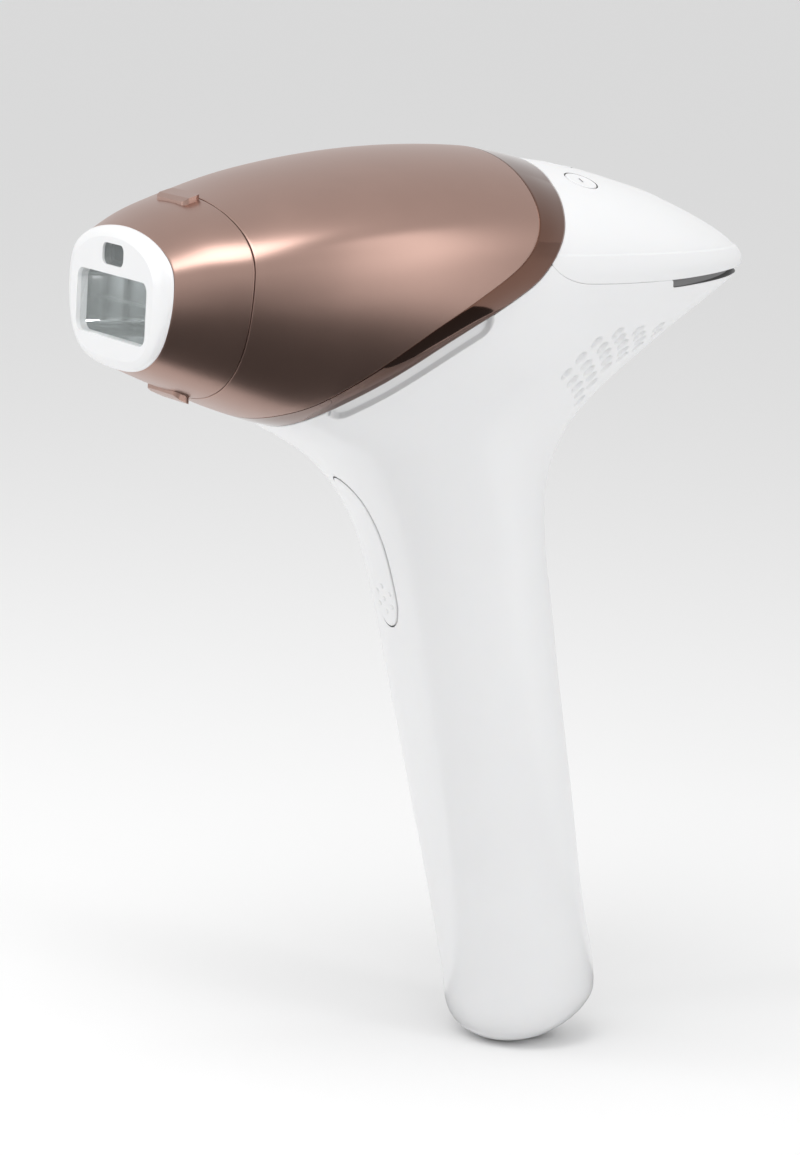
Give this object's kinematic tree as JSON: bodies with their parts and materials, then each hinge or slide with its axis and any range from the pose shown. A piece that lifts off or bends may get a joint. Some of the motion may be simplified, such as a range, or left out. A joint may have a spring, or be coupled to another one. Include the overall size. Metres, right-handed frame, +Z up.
{
  "type": "ipl hair remover",
  "caption": "Hand-held pulsed-light hair remover with a copper barrel, removable treatment head, white tail with keys, and a raked handle with a trigger.",
  "frame": {"origin": "centre of the treatment window, on the plane of the front face that is pressed to the skin", "axes": "-Y out of the treatment window towards the skin, +Y to the rear, +Z up away from the handle, X across the device, which is symmetric about X = 0"},
  "size_m": [0.0726, 0.1523, 0.1975],
  "materials": {
    "white_gloss": "moulded, polished",
    "copper_satin": "satin metallized",
    "copper_polished": "mirror polished",
    "grey_plastic": "fine moulded",
    "dark_plastic": "fine moulded",
    "window_glass": "clear, coated edge",
    "sensor_glass": "tinted",
    "mirror_metal": "polished reflector",
    "lamp_glass": "quartz",
    "steel": "turned",
    "brass": "stamped",
    "alu": "extruded",
    "capacitor_can": "sleeved",
    "board_green": "solder mask",
    "ferrite": "moulded"
  },
  "bodies": {
    "body": {"body_shell_left": "white_gloss", "body_shell_right": "white_gloss", "control_cover": "white_gloss", "barrel_cover": "copper_satin", "trim_ring": "copper_polished", "inner_frame": "grey_plastic", "shell_pins": "grey_plastic", "rear_vent_strip": "grey_plastic", "control_board": "board_green", "key_switches": "dark_plastic", "trigger_pin": "steel", "trigger_bracket": "grey_plastic", "trigger_switch": "dark_plastic", "flash_capacitor": "capacitor_can", "capacitor_clamps": "grey_plastic", "charging_socket": "dark_plastic", "socket_contact": "brass", "chassis_tray": "grey_plastic", "main_board": "board_green", "board_screws": "steel", "transformer": "ferrite", "board_components": "dark_plastic", "filter_glass": "lamp_glass", "lamp_housing": "grey_plastic", "lamp_reflector": "mirror_metal", "flash_lamp": "lamp_glass", "lamp_electrodes": "steel", "heat_sink": "alu", "fan_frame": "dark_plastic", "skin_sensor": "dark_plastic"},
    "attachment": {"attachment_shell": "copper_satin", "attachment_face": "white_gloss", "treatment_window": "window_glass", "sensor_window": "sensor_glass", "sensor_light_pipe": "sensor_glass", "attachment_reflector": "mirror_metal", "attachment_spigot": "grey_plastic", "release_tabs": "copper_satin"},
    "trigger": {"trigger_button": "white_gloss"},
    "fan": {"fan_rotor": "grey_plastic"},
    "power_button": {"power_button": "white_gloss"},
    "mode_button_left": {"mode_button_left": "white_gloss"},
    "mode_button_centre": {"mode_button_centre": "white_gloss"},
    "mode_button_right": {"mode_button_right": "white_gloss"}
  },
  "joints": [
    {"name": "attachment_pull", "type": "slide", "parent": "body", "child": "attachment", "axis": [0, -1, 0], "range_m": [0, 0.03]},
    {"name": "trigger_press", "type": "hinge", "parent": "body", "child": "trigger", "pos_m": [0, 0.0662, -0.0425], "axis": [1, 0, 0], "range_deg": [0, 2.4], "stiffness_Nm_per_rad": 1.2, "springref_deg": -0.57},
    {"name": "fan_spin", "type": "hinge", "parent": "body", "child": "fan", "pos_m": [0, 0.066, 0.0078], "axis": [0, 1, 0], "continuous": true},
    {"name": "power_button_press", "type": "slide", "parent": "body", "child": "power_button", "axis": [0, -0.3454, -0.9385], "range_m": [0, 0.0005], "stiffness_N_per_m": 400, "springref_m": -0.0005},
    {"name": "mode_button_left_press", "type": "slide", "parent": "body", "child": "mode_button_left", "axis": [0.2877, -0.1264, -0.9494], "range_m": [0, 0.0005], "stiffness_N_per_m": 400, "springref_m": -0.0005},
    {"name": "mode_button_centre_press", "type": "slide", "parent": "body", "child": "mode_button_centre", "axis": [0, -0.1198, -0.9928], "range_m": [0, 0.0005], "stiffness_N_per_m": 400, "springref_m": -0.0005},
    {"name": "mode_button_right_press", "type": "slide", "parent": "body", "child": "mode_button_right", "axis": [-0.2877, -0.1264, -0.9494], "range_m": [0, 0.0005], "stiffness_N_per_m": 400, "springref_m": -0.0005}
  ]
}
